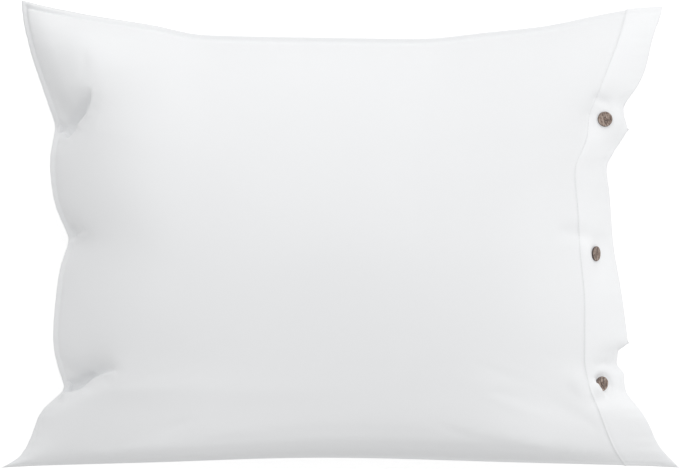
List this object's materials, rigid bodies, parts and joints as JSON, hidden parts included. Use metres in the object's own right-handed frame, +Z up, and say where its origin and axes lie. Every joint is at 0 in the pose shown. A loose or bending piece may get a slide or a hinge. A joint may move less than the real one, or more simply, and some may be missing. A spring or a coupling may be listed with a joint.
{
  "type": "pillowcase",
  "caption": "Cotton pillowcase filled by its pillow, with drawn-in sides, pointed corners and a hemmed mouth closed by buttons, lying on its back.",
  "frame": {"origin": "on the surface the pillow lies on, under the middle of its bounding box", "axes": "+X towards the buttoned mouth, +Y towards the top seam, +Z up, out of the front face"},
  "size_m": [0.696, 0.479, 0.1722],
  "materials": {
    "white_cotton": "matt percale weave",
    "brown_shell": "satin, with a fine light and dark grain, as coconut shell has"
  },
  "bodies": {
    "root": {"pillowcase": "white_cotton", "button_upper": "brown_shell", "button_middle": "brown_shell", "button_lower": "brown_shell"}
  },
  "joints": []
}
